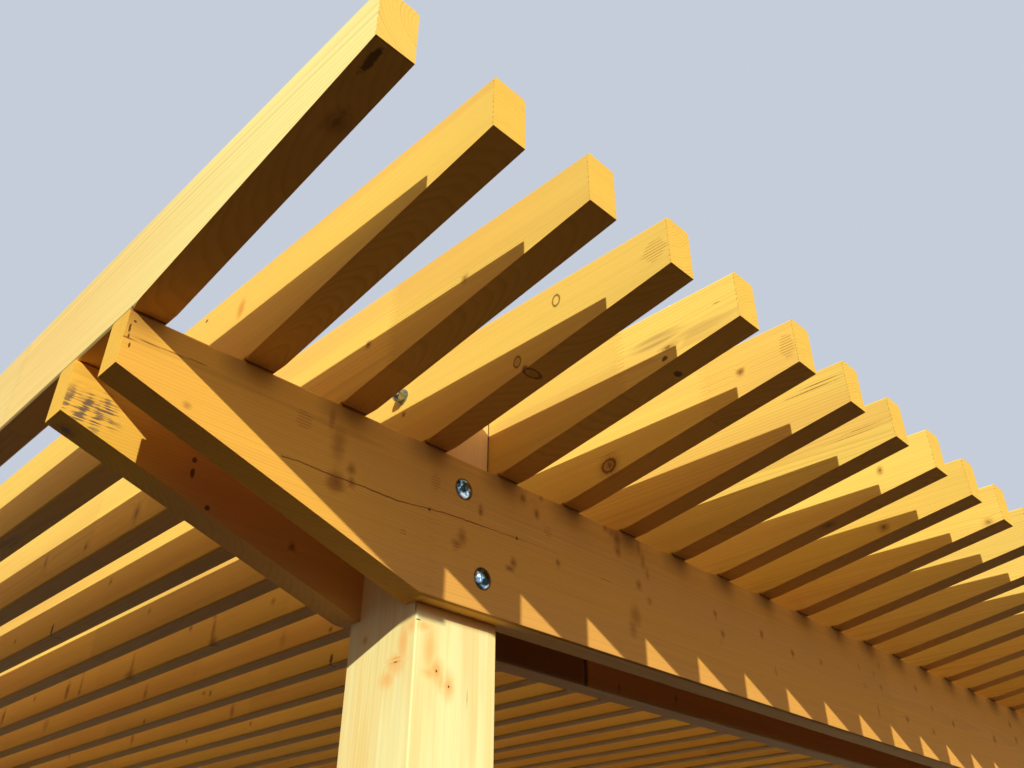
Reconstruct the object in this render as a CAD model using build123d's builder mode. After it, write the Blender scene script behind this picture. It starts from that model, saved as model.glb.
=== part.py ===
from build123d import *
import os

# Lean-to pergola of planed, finger-jointed softwood, in millimetres.
# X runs along the wall, -Y points to the open front and Z points up.
# The origin is the middle of the wall plate's back face, in the wall plane.

# Timber sections
POST = 145
TIMBER = 45
BEAM_DEPTH = 220
RAFTER_DEPTH = 145
ARRIS = 3
POST_ARRIS = 1.5

# Rafters: equal level rafters, four of them let into the post heads
RAFTER_COUNT = 28
RAFTER_PITCH = 145
RAFTER_LENGTH = 4000
TAIL_TAPER = 435
TAIL_END = 72.5

# Twin beams and their raked ends
BEAM_LENGTH = (RAFTER_COUNT - 1) * RAFTER_PITCH + TIMBER
RAKE_RUN = 450
RAKE_END = 72.5

# Posts: a housing half a board deep on every side of the head
HOUSING = TIMBER / 2
POST_SPACING = 20 * RAFTER_PITCH
POST_SIDES = {"left": -1, "right": 1}
FRONT_OVERHANG = TAIL_TAPER + HOUSING
HEADROOM = 2100

# Levels and positions that follow from the sections
BEAM_TOP = BEAM_DEPTH / 2
BEAM_UNDERSIDE = -BEAM_DEPTH / 2
RAFTER_TOP = BEAM_TOP + RAFTER_DEPTH
GROUND = BEAM_UNDERSIDE - HEADROOM
POST_FRONT = -RAFTER_LENGTH + FRONT_OVERHANG
POST_BACK = POST_FRONT + POST
POST_CENTRE = (POST_FRONT + POST_BACK) / 2
HEAD_WIDTH = POST - 2 * HOUSING
FRONT_BEAM_FACE = POST_FRONT - HOUSING
BACK_BEAM_FACE = POST_BACK + HOUSING

# M12 coach bolts and flanged nuts
BOLT_RADIUS = 6
BOLT_HOLE_RADIUS = 6.5
BOLT_LENGTH = 210
GRIP = POST + TIMBER
NECK = 12
NECK_DEPTH = 8
DOME_RADIUS = 15.5
DOME_HEIGHT = 7
DOME_SPHERE = (DOME_RADIUS**2 + DOME_HEIGHT**2) / (2 * DOME_HEIGHT)
FLANGE_RADIUS = 12.5
FLANGE_THICKNESS = 2.5
NUT_ACROSS_FLATS = 18
NUT_HEIGHT = 13
NUT_BORE_RADIUS = 6.1

# Bolt places, measured from the post's centre line and from the beam's top
BEAM_BOLT_OFFSETS = [(-18, -47), (22.5, -170)]
HEAD_BOLT_OFFSETS = [(-35, 99.5), (35, 45.5)]

# Wall plate fixings: one line of anchor holes, each in a gap between rafters
ANCHOR_COUNT = 6
ANCHOR_PITCH = 4 * RAFTER_PITCH
ANCHOR_HOLE_RADIUS = 7

# Galvanised post shoes: base plate, threaded rod and seat plate
SHOE_HEIGHT = 80
SHOE_PLATE = 140
SHOE_SEAT_PLATE = 120
SHOE_PLATE_THICKNESS = 8
SHOE_CORNER = 8
SHOE_BOLT_SPACING = 100
SHOE_BOLT_HOLE_RADIUS = 7
SHOE_ROD_RADIUS = 12
SHOE_ROD_IN_POST = 150
POST_BORE_RADIUS = 12.5
POST_BORE_DEPTH = 160

POST_FOOT = GROUND + SHOE_HEIGHT

os.makedirs("parts", exist_ok=True)


def post_x(side):
    return side * POST_SPACING / 2


def beam_bolt_places():
    places = []
    for side in POST_SIDES.values():
        for across, down in BEAM_BOLT_OFFSETS:
            places.append((post_x(side) - side * across, BEAM_TOP + down))
    return places


def head_bolt_places():
    return [(POST_CENTRE + along, BEAM_TOP + up) for along, up in HEAD_BOLT_OFFSETS]


# Posts: square shaft, front and back housings for the beams, side housings
# for the rafters, the bolt holes through both and the bore for the shoe's rod
for side_name, side in POST_SIDES.items():
    shaft_height = RAFTER_TOP - POST_FOOT
    with BuildPart() as post:
        with BuildSketch(Plane((post_x(side), POST_CENTRE, POST_FOOT))):
            shaft = Rectangle(POST, POST)
            chamfer(shaft.vertices(), POST_ARRIS)
        extrude(amount=shaft_height)
        with BuildSketch(Plane((post_x(side), POST_CENTRE, BEAM_UNDERSIDE))):
            with GridLocations(0, POST, 1, 2):
                Rectangle(POST, 2 * HOUSING)
        extrude(amount=BEAM_DEPTH, mode=Mode.SUBTRACT)
        with BuildSketch(Plane((post_x(side), POST_CENTRE, BEAM_TOP))):
            with GridLocations(POST, 0, 2, 1):
                Rectangle(2 * HOUSING, POST)
        extrude(amount=RAFTER_DEPTH, mode=Mode.SUBTRACT)
        with BuildSketch(Plane.XZ.offset(-POST_BACK)):
            for across, down in BEAM_BOLT_OFFSETS:
                with Locations((post_x(side) - side * across, BEAM_TOP + down)):
                    Circle(BOLT_HOLE_RADIUS)
        extrude(amount=POST, mode=Mode.SUBTRACT)
        with BuildSketch(Plane.YZ.offset(post_x(side) - HEAD_WIDTH / 2)):
            with Locations(*head_bolt_places()):
                Circle(BOLT_HOLE_RADIUS)
        extrude(amount=HEAD_WIDTH, mode=Mode.SUBTRACT)
        with Locations(Plane((post_x(side), POST_CENTRE, POST_FOOT), z_dir=(0, 0, -1))):
            Hole(POST_BORE_RADIUS, POST_BORE_DEPTH)
    post.part.label = f"post_{side_name}"
    export_step(post.part, f"parts/post_{side_name}.step")


# Twin beams: planed boards with eased arrises, then the underside sawn to a
# rake at both ends, with sockets for the square bolt necks in the front one
BEAM_BACK_FACES = {"front_beam": FRONT_BEAM_FACE + TIMBER, "back_beam": BACK_BEAM_FACE}
for beam_name, back_face in BEAM_BACK_FACES.items():
    half = BEAM_LENGTH / 2
    with BuildPart() as beam:
        with BuildSketch(Plane.YZ.offset(-half)):
            with Locations((back_face - TIMBER / 2, 0)):
                board = Rectangle(TIMBER, BEAM_DEPTH)
            chamfer(board.vertices(), ARRIS)
        extrude(amount=BEAM_LENGTH)
        with BuildSketch(Plane.XZ.offset(-back_face)):
            for end in (-half, half):
                rake_start = end - RAKE_RUN if end > 0 else end + RAKE_RUN
                with BuildLine():
                    Polyline(
                        (end, BEAM_TOP - RAKE_END),
                        (rake_start, BEAM_UNDERSIDE),
                        (end, BEAM_UNDERSIDE),
                        close=True,
                    )
                make_face()
        extrude(amount=TIMBER, mode=Mode.SUBTRACT)
        with BuildSketch(Plane.XZ.offset(-back_face)):
            with Locations(*beam_bolt_places()):
                Circle(BOLT_HOLE_RADIUS)
        extrude(amount=TIMBER, mode=Mode.SUBTRACT)
        if beam_name == "front_beam":
            with BuildSketch(Plane.XZ.offset(-FRONT_BEAM_FACE)):
                with Locations(*beam_bolt_places()):
                    Rectangle(NECK, NECK)
            extrude(amount=-NECK_DEPTH, mode=Mode.SUBTRACT)
    beam.part.label = beam_name
    export_step(beam.part, f"parts/{beam_name}.step")


# Wall plate: a square-ended board bolted to the wall under the rafters
with BuildPart() as wall_plate:
    with BuildSketch(Plane.YZ.offset(-BEAM_LENGTH / 2)):
        with Locations((-TIMBER / 2, 0)):
            board = Rectangle(TIMBER, BEAM_DEPTH)
        chamfer(board.vertices(), ARRIS)
    extrude(amount=BEAM_LENGTH)
    with Locations(Plane((0, -TIMBER, 0), x_dir=(1, 0, 0), z_dir=(0, -1, 0))):
        with GridLocations(ANCHOR_PITCH, 0, ANCHOR_COUNT, 1):
            Hole(ANCHOR_HOLE_RADIUS)
wall_plate.part.label = "wall_plate"
export_step(wall_plate.part, "parts/wall_plate.step")


# Rafters: level planed boards on edge, with a tail sawn to a taper that starts
# at the front beam's outer face; those beside a post head take its cross bolts
for number in range(1, RAFTER_COUNT + 1):
    rafter_x = (number - (RAFTER_COUNT + 1) / 2) * RAFTER_PITCH
    beside_post = min(abs(rafter_x - post_x(side)) for side in POST_SIDES.values()) < RAFTER_PITCH
    outer_one = beside_post and abs(rafter_x) > POST_SPACING / 2
    with BuildPart() as rafter:
        with BuildSketch(Plane.XZ):
            with Locations((rafter_x, BEAM_TOP + RAFTER_DEPTH / 2)):
                board = Rectangle(TIMBER, RAFTER_DEPTH)
            chamfer(board.vertices(), ARRIS)
        extrude(amount=RAFTER_LENGTH)
        with BuildSketch(Plane.YZ.offset(rafter_x - TIMBER / 2)):
            with BuildLine():
                Polyline(
                    (-RAFTER_LENGTH, RAFTER_TOP - TAIL_END),
                    (-RAFTER_LENGTH + TAIL_TAPER, BEAM_TOP),
                    (-RAFTER_LENGTH, BEAM_TOP),
                    close=True,
                )
            make_face()
        extrude(amount=TIMBER, mode=Mode.SUBTRACT)
        if beside_post:
            with BuildSketch(Plane.YZ.offset(rafter_x - TIMBER / 2)):
                with Locations(*head_bolt_places()):
                    Circle(BOLT_HOLE_RADIUS)
            extrude(amount=TIMBER, mode=Mode.SUBTRACT)
        if beside_post and not outer_one:
            inner_face = rafter_x - TIMBER / 2 if rafter_x > 0 else rafter_x + TIMBER / 2
            inward = 1 if rafter_x > 0 else -1
            with BuildSketch(Plane.YZ.offset(inner_face)):
                with Locations(*head_bolt_places()):
                    Rectangle(NECK, NECK)
            extrude(amount=inward * NECK_DEPTH, mode=Mode.SUBTRACT)
    rafter.part.label = f"rafter_{number:02d}"
    export_step(rafter.part, f"parts/rafter_{number:02d}.step")


# Coach bolts and nuts of one joint, on a plane whose normal points from the
# dome out of the timber
def coach_bolts(planes):
    with BuildPart() as bolts:
        for plane in planes:
            with BuildSketch(plane):
                Rectangle(NECK, NECK)
            extrude(amount=-NECK_DEPTH)
            with BuildSketch(plane.offset(-NECK_DEPTH)):
                Circle(BOLT_RADIUS)
            extrude(amount=NECK_DEPTH - BOLT_LENGTH)
            with BuildSketch(Plane(plane.origin, x_dir=plane.x_dir, z_dir=plane.y_dir)):
                with Locations((0, DOME_SPHERE - DOME_HEIGHT)):
                    Circle(DOME_SPHERE)
                with Locations((DOME_RADIUS / 2, -DOME_HEIGHT / 2)):
                    Rectangle(DOME_RADIUS, DOME_HEIGHT, mode=Mode.INTERSECT)
            revolve(axis=Axis(plane.origin, plane.z_dir))
    return bolts


def flanged_nuts(planes):
    with BuildPart() as nuts:
        for plane in planes:
            with BuildSketch(plane.offset(-GRIP)):
                Circle(FLANGE_RADIUS)
            extrude(amount=-FLANGE_THICKNESS)
            with BuildSketch(plane.offset(-GRIP)):
                RegularPolygon(NUT_ACROSS_FLATS / 2, 6, major_radius=False)
            extrude(amount=-NUT_HEIGHT)
            with BuildSketch(plane.offset(-GRIP)):
                Circle(NUT_BORE_RADIUS)
            extrude(amount=-NUT_HEIGHT, mode=Mode.SUBTRACT)
    return nuts


beam_bolt_planes = [
    Plane((x, FRONT_BEAM_FACE, z), x_dir=(1, 0, 0), z_dir=(0, -1, 0)) for x, z in beam_bolt_places()
]
beam_bolts = coach_bolts(beam_bolt_planes)
beam_bolts.part.label = "beam_bolts"
export_step(beam_bolts.part, "parts/beam_bolts.step")
beam_nuts = flanged_nuts(beam_bolt_planes)
beam_nuts.part.label = "beam_nuts"
export_step(beam_nuts.part, "parts/beam_nuts.step")

head_bolt_planes = [
    Plane((post_x(side) - side * GRIP / 2, y, z), x_dir=(0, side, 0), z_dir=(-side, 0, 0))
    for side in POST_SIDES.values()
    for y, z in head_bolt_places()
]
head_bolts = coach_bolts(head_bolt_planes)
head_bolts.part.label = "head_bolts"
export_step(head_bolts.part, "parts/head_bolts.step")
head_nuts = flanged_nuts(head_bolt_planes)
head_nuts.part.label = "head_nuts"
export_step(head_nuts.part, "parts/head_nuts.step")


# Post shoes: a bolted-down base plate, and a seat plate on a threaded rod that
# runs on up into the post
for side_name, side in POST_SIDES.items():
    with BuildPart() as shoe:
        with BuildSketch(Plane((post_x(side), POST_CENTRE, GROUND))):
            base_plate = Rectangle(SHOE_PLATE, SHOE_PLATE)
            chamfer(base_plate.vertices(), SHOE_CORNER)
            with GridLocations(SHOE_BOLT_SPACING, SHOE_BOLT_SPACING, 2, 2):
                Circle(SHOE_BOLT_HOLE_RADIUS, mode=Mode.SUBTRACT)
        extrude(amount=SHOE_PLATE_THICKNESS)
        with BuildSketch(Plane((post_x(side), POST_CENTRE, POST_FOOT))):
            seat_plate = Rectangle(SHOE_SEAT_PLATE, SHOE_SEAT_PLATE)
            chamfer(seat_plate.vertices(), SHOE_CORNER)
        extrude(amount=-SHOE_PLATE_THICKNESS)
        with BuildSketch(Plane((post_x(side), POST_CENTRE, GROUND))):
            Circle(SHOE_ROD_RADIUS)
        extrude(amount=SHOE_HEIGHT + SHOE_ROD_IN_POST)
    shoe.part.label = f"post_shoe_{side_name}"
    export_step(shoe.part, f"parts/post_shoe_{side_name}.step")
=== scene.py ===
import math

import bmesh
import bpy
from mathutils import Matrix, Vector


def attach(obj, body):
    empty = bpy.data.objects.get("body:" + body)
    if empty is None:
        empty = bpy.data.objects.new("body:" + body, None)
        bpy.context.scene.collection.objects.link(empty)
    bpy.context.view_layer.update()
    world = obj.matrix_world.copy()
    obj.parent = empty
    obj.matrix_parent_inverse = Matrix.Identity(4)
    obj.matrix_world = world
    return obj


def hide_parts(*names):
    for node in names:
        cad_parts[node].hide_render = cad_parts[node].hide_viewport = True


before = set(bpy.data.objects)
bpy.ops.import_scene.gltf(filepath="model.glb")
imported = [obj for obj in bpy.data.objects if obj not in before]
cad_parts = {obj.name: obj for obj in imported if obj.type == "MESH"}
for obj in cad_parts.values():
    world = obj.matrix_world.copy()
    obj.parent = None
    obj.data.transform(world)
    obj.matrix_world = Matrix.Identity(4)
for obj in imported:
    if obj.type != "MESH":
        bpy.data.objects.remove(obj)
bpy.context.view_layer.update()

# Sizes of the pergola, in metres
PITCH = 0.145
RAFTERS = 28
RAFTER_TOP = 0.255
RAFTER_TIP = -4.000
TAPER_START = -3.565
TAPER_RISE = 0.0725 / 0.435
BEAM_TOP = 0.110
BEAM_UNDERSIDE = -0.110
BEAM_END = 1.980
FRONT_BEAM_FACE = -3.565
FRONT_BEAM_MIDDLE = -3.5425
BACK_BEAM_FACE = -3.420
BACK_BEAM_MIDDLE = -3.3975
WALL_PLATE_MIDDLE = -0.0225
POST_X = 1.450
POST_Y = -3.470
POST_FACE = -3.5425
POST_LEFT_FACE = -1.5225
POST_HEAD_SEAM = 1.4012
GROUND = -2.210

# Bolts: domed heads, square necks, and threaded ends that stand out of the nuts
DOME_RADIUS = 0.0155
DOME_HEIGHT = 0.007
SHANK_RADIUS = 0.006
NECK = 0.012
NECK_DEPTH = 0.008
GRIP = 0.190
NUT_HEIGHT = 0.013
BOLT_LENGTH = 0.210
THREAD_ROOT = 0.0051
THREAD_PITCH = 0.00175
BEAM_BOLTS = [(POST_X + 0.018, 0.063), (POST_X - 0.0225, -0.060)]
HEAD_BOLTS = [(POST_Y - 0.035, 0.2095), (POST_Y + 0.035, 0.1555)]
HEAD_BOLT_SEAT = POST_X - GRIP / 2

HEAD_SPOTS = [((place, 0.0, level), (DOME_RADIUS, 1.0, DOME_RADIUS)) for place, level in BEAM_BOLTS]
DOME_STEPS = (0.0150, 0.0140, 0.0125, 0.0105, 0.0080, 0.0050, 0.0025, 0.0)
TURNED_SIDES = 48
RIDGE_HEIGHT = 0.00075
THREAD_ROUND = 32

# Rounding of arrises: the angles between the faces, the shortest edge that is rounded, and the width
TIMBER_ROUNDING = ((38.0, 52.0), 0.03, 0.0008)
NUT_ROUNDING = ((50.0, 100.0), 0.005, 0.0005)
SHOE_ROUNDING = ((40.0, 100.0), 0.004, 0.0006)
ROUNDING_STEPS = 2
SHARP_ANGLE = 33.0

# Finger joints: their teeth, and for each kind of board the first joint, the way to the next and its wander
FINGER_LENGTH = 0.020
FINGER_PITCH = 0.0062
RAFTER_JOINTS = (0.0, 1.25, 0.22)
FRONT_BEAM_JOINTS = (-1.52, 1.36, 0.0)
BACK_BEAM_JOINTS = (-1.04, 1.25, 0.0)
WALL_PLATE_JOINTS = (-0.60, 1.30, 0.0)
POST_JOINTS = (0.35, 1.7, 0.0)

# Numbers that give each board its own grain; a rafter takes its own number
LEFT_POST_GRAIN = 3.0
RIGHT_POST_GRAIN = 8.0
FRONT_BEAM_GRAIN = 41.0
BACK_BEAM_GRAIN = 57.0
WALL_PLATE_GRAIN = 73.0

# Timber: strewn knots to a metre, the width of a year's ring and how much it varies, and the sheen
KNOTS_PER_METRE = 11.0
RING_WIDTH = 0.0030
RING_VARIATION = 0.0020
TIMBER_SHEEN = 0.08

# The long drying crack of the front beam: its ends in X, its course between them, and the fall of that course
CRACK_START = -1.765
CRACK_END = -1.27
CRACK_THINS = -1.46
CRACK_COURSE = [
    (0.0, 0.44), (0.05, 0.46), (0.15, 0.45), (0.25, 0.465), (0.36, 0.455), (0.477, 0.522),
    (0.545, 0.555), (0.68, 0.58), (0.82, 0.604), (0.91, 0.622), (1.0, 0.63),
]

# The back beam's front face is darker from beside the post to its finger joint
DARK_LENGTH_START = -1.3775
DARK_LENGTH_END = -1.040
RUBBED_PATCH = ((-1.948, BACK_BEAM_FACE, 0.052), (0.046, 0.010, 0.034))

# Places along which a tone changes into another, as (from, to)
PALE_TAIL = (-3.30, -3.95)
# Painted light: the sunlit left ends of the beams turn brighter over these spans
FRONT_BEAM_SUNLIT_END = (-1.50, -1.78)
BACK_BEAM_SUNLIT_END = (-1.78, -1.90)
# Painted shade: the post head above the beams turns orange over this rise
POST_HEAD_SHADE_RISE = (0.100, 0.118)
# Painted shade: the band of the post's front face just below the beam
UNDER_BEAM_SHADE_BAND = (-0.130, -0.118)
# Painted shadow under each rafter on the outer beam: its width about the rafter, its height, and its shift to the
# left
RAFTER_SHADOW_WIDTH = (0.055, 0.010)
RAFTER_SHADOW_HEIGHT = (0.060, 0.112)
RAFTER_SHADOW_SHIFT = 0.014

# Timber colours as linear values: the pale and the deep tone of each delivery
RAFTER_TONES = ((0.90, 0.65, 0.145, 1.0), (0.83, 0.54, 0.098, 1.0))
MARKED_RAFTER_TONES = ((0.89, 0.64, 0.134, 1.0), (0.86, 0.58, 0.110, 1.0))
FRONT_BEAM_TONES = ((0.76, 0.39, 0.068, 1.0), (0.70, 0.34, 0.055, 1.0))
# Painted light: a brighter, warmer tone for the sunlit left end of the outer beam
FRONT_BEAM_PAINTED_SUNLIT_END = (0.92, 0.48, 0.064, 1.0)
# Painted shade colour: a brighter, redder tone for the outer beam's shaded underside
FRONT_BEAM_UNDERSIDE_PAINTED_SHADE = (0.98, 0.54, 0.12, 1.0)
# Painted shadow under each rafter on the outer beam's face
PAINTED_SHADOW_UNDER_RAFTER = (0.20, 0.080, 0.020, 1.0)
# Painted shade in the band below the beam on the post's front face
PAINTED_SHADE_UNDER_BEAM = (0.50, 0.20, 0.022, 1.0)
BACK_BEAM_TONES = ((0.76, 0.40, 0.100, 1.0), (0.72, 0.36, 0.090, 1.0))
# Painted light: a brighter, warmer tone for the sunlit left end of the inner beam
BACK_BEAM_PAINTED_SUNLIT_END = (0.94, 0.53, 0.056, 1.0)
POST_TONES = ((0.95, 0.80, 0.33, 1.0), (0.94, 0.72, 0.24, 1.0))
PALE_RAFTER_TONES = ((0.94, 0.71, 0.245, 1.0), (0.92, 0.67, 0.215, 1.0))
PALE_TAIL_TONE = (0.98, 0.87, 0.31, 1.0)
# Painted shade colour: redder tones for the rafters' shaded undersides, darker on the first rafter
RAFTER_UNDERSIDE_PAINTED_SHADE = (0.93, 0.49, 0.12, 1.0)
FIRST_RAFTER_UNDERSIDE_PAINTED_SHADE = (0.78, 0.36, 0.075, 1.0)
ROSY = (0.72, 0.36, 0.10, 1.0)
LATEWOOD = (0.45, 0.20, 0.035, 1.0)
END_GRAIN = (0.86, 0.52, 0.075, 1.0)
KNOT_BROWN = (0.34, 0.125, 0.022, 1.0)
KNOT_CORE = (0.13, 0.040, 0.010, 1.0)
KNOT_BLACK = (0.045, 0.016, 0.008, 1.0)
POST_KNOT_HALO = (0.88, 0.46, 0.12, 1.0)
SAPWOOD = (0.96, 0.89, 0.41, 1.0)
AMBER = (0.90, 0.62, 0.17, 1.0)
# Painted shade colour: the orange of the shaded post head
POST_HEAD_PAINTED_SHADE = (0.96, 0.56, 0.19, 1.0)
SUNLIT_KNOT = (0.66, 0.26, 0.035, 1.0)
CRACK_DARK = (0.17, 0.050, 0.010, 1.0)
RUB_MARK = (0.070, 0.058, 0.066, 1.0)
GREY_STAIN = (0.30, 0.17, 0.065, 1.0)
# Colour of the darker length of the back beam beside the post
DARK_LENGTH_TONE = (0.16, 0.065, 0.018, 1.0)

# Metal colours
# Painted reflections on the domed heads: dark surroundings, blue sky over the zinc's own bluish tint, and white
# highlights
ZINC_PAINTED_DARK_REFLECTION = (0.030, 0.036, 0.036, 1.0)
ZINC_BLUE_AND_SKY_REFLECTION = (0.20, 0.38, 0.56, 1.0)
ZINC_PAINTED_HIGHLIGHT = (0.90, 0.93, 0.95, 1.0)
# Painted shade at the rim of the domed heads
ZINC_PAINTED_RIM_SHADE = (0.020, 0.022, 0.022, 1.0)
NUT_DEEP = (0.24, 0.26, 0.22, 1.0)
NUT_PALE = (0.40, 0.42, 0.37, 1.0)
GALVANISED_DEEP = (0.40, 0.42, 0.44, 1.0)
GALVANISED_PALE = (0.58, 0.60, 0.61, 1.0)

# Floor and surround: as they are seen, and as they light the pergola
FLOOR_HALF_WIDTH = 30.0
FLOOR_SEEN = (0.69, 0.755, 0.70, 1.0)
FLOOR_LIGHT = (0.020, 0.008, 0.003, 1.0)
SURROUND_SEEN = (0.56, 0.61, 0.70, 1.0)
SURROUND_LIGHT = (1.0, 0.81, 0.98, 1.0)
SURROUND_STRENGTH = 0.40

# Lamps: direction of the light, strength, spread in degrees, and colour
LAMPS = {
    "key_lamp": ((0.641, 0.635, -0.434), 4.3, 0.53, (1.0, 1.0, 0.93)),
    "front_fill": ((0.10, 0.95, -0.29), 0.45, 26.0, (0.95, 0.97, 1.0)),
    "back_lamp": ((-0.60, -0.55, -0.58), 0.9, 25.0, (1.0, 1.0, 1.0)),
}

# Camera: where the photo was taken from, in metres and degrees, and its lens in millimetres
CAMERA_PLACE = (-2.2577, -4.4514, -0.5119)
CAMERA_YAW = 44.969
CAMERA_PITCH = 32.479
CAMERA_ROLL = 0.397
CAMERA_LENS = 32.085
CAMERA_SENSOR = 36.0
CAMERA_REACH = 200.0


class Wire:
    """One value of a finish, worked with like a number: each sign adds its Math node."""

    def __init__(self, bench, socket):
        self.bench = bench
        self.socket = socket

    def other(self, output):
        return Wire(self.bench, self.socket.node.outputs[output])

    def maths(self, operation, *values):
        return self.bench.node("ShaderNodeMath", {"operation": operation}, dict(enumerate(values)))

    def __add__(self, value):
        return self.maths("ADD", self, value)

    def __sub__(self, value):
        return self.maths("SUBTRACT", self, value)

    def __rsub__(self, value):
        return self.maths("SUBTRACT", value, self)

    def __mul__(self, value):
        return self.maths("MULTIPLY", self, value)

    def __truediv__(self, value):
        return self.maths("DIVIDE", self, value)

    def __rtruediv__(self, value):
        return self.maths("DIVIDE", value, self)

    def __pow__(self, value):
        return self.maths("POWER", self, value)

    def __neg__(self):
        return self.maths("MULTIPLY", self, -1.0)

    __radd__ = __add__
    __rmul__ = __mul__

    def floor(self):
        return self.maths("FLOOR", self)

    def size(self):
        return self.maths("ABSOLUTE", self)

    def least(self, value):
        return self.maths("MINIMUM", self, value)

    def most(self, value):
        return self.maths("MAXIMUM", self, value)

    def wave(self):
        return self.maths("SINE", self)

    def zigzag(self, pitch):
        """0 to 1 and back to 0 over each pitch."""
        return self.maths("PINGPONG", self, pitch / 2) / (pitch / 2)

    def swell(self):
        return self.maths("EXPONENT", self)

    def above(self, value):
        return self.maths("GREATER_THAN", self, value)


class Bench:
    """The node tree of one finish or of the surround."""

    def __init__(self, holder):
        holder.use_nodes = True
        self.tree = holder.node_tree
        self.tree.nodes.clear()

    def node(self, kind, settings=None, values=None, output=0):
        made = self.tree.nodes.new(kind)
        for setting, value in (settings or {}).items():
            if setting == "course":
                line = made.mapping.curves[0]
                line.points[0].location = value[0]
                line.points[1].location = value[-1]
                for place in value[1:-1]:
                    line.points.new(*place)
                for point in line.points:
                    point.handle_type = "VECTOR"
                made.mapping.update()
            else:
                setattr(made, setting, value)
        for key, value in (values or {}).items():
            if isinstance(value, Wire):
                self.tree.links.new(value.socket, made.inputs[key])
            else:
                made.inputs[key].default_value = value
        return Wire(self, made.outputs[output]) if made.outputs else None

    def place(self):
        return self.node("ShaderNodeTexCoord", output="Object")

    def split(self, vector):
        parts = self.node("ShaderNodeSeparateXYZ", None, {0: vector})
        return parts, parts.other("Y"), parts.other("Z")

    def join(self, x, y, z):
        return self.node("ShaderNodeCombineXYZ", None, {0: x, 1: y, 2: z})

    def parts_of(self, colour):
        parts = self.node("ShaderNodeSeparateColor", None, {0: colour})
        return parts, parts.other("Green"), parts.other("Blue")

    def mix(self, amount, first, second):
        return self.node("ShaderNodeMix", {"data_type": "RGBA"}, {0: amount, 6: first, 7: second}, output=2)

    def brighten(self, colour, amount):
        return self.node("ShaderNodeVectorMath", {"operation": "SCALE"}, {0: colour, "Scale": amount})

    def ease(self, value, start, end, low=0.0, high=1.0):
        return self.node(
            "ShaderNodeMapRange", {"interpolation_type": "SMOOTHSTEP"}, {0: value, 1: start, 2: end, 3: low, 4: high}
        )

    def noise(self, vector, detail=2.0, roughness=0.5):
        return self.node(
            "ShaderNodeTexNoise",
            {"noise_dimensions": "3D"},
            {"Vector": vector, "Scale": 1.0, "Detail": detail, "Roughness": roughness},
        )

    def chances(self, x, y, z):
        """Three chance values that stay the same for the same place."""
        found = self.node(
            "ShaderNodeTexWhiteNoise", {"noise_dimensions": "3D"}, {"Vector": self.join(x, y, z)}, output="Color"
        )
        return self.parts_of(found)

    def chance(self, value):
        return self.node("ShaderNodeTexWhiteNoise", {"noise_dimensions": "1D"}, {"W": value})

    def from_spot(self, point, spot):
        """Distance from an egg-shaped spot's middle, 1 at its edge; a spot is (centre, half sizes)."""
        centre, size = spot
        scale = tuple(1.0 / part for part in size)
        shift = tuple(-middle / part for middle, part in zip(centre, size))
        away = self.node("ShaderNodeVectorMath", {"operation": "MULTIPLY_ADD"}, {0: point, 1: scale, 2: shift})
        return self.node("ShaderNodeVectorMath", {"operation": "LENGTH"}, {0: away}, output="Value")

    def from_spots(self, point, spots):
        """Distance from the nearest of several spots."""
        nearest = self.from_spot(point, spots[0])
        for spot in spots[1:]:
            nearest = nearest.least(self.from_spot(point, spot))
        return nearest

    def seen(self):
        """1 for what the camera sees, straight or in a mirror, and 0 for what only lights the pergola."""
        rays = self.node("ShaderNodeLightPath", output="Is Camera Ray")
        return rays.most(rays.other("Is Glossy Ray")).most(rays.other("Is Transmission Ray"))

    def finish(self, colour, roughness, height=None, depth=0.0003, metallic=0.0, specular=0.5):
        """The surface from its colour, its roughness and the height of its relief over the given depth."""
        values = {"Base Color": colour, "Roughness": roughness, "Metallic": metallic, "Specular IOR Level": specular}
        if height is not None:
            relief = {"Strength": 1.0, "Distance": depth, "Height": height}
            values["Normal"] = self.node("ShaderNodeBump", None, relief)
        shader = self.node("ShaderNodeBsdfPrincipled", None, values)
        self.node("ShaderNodeOutputMaterial", None, {0: shader})


def new_finish(name):
    material = bpy.data.materials.new(name)
    return material, Bench(material)


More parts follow.
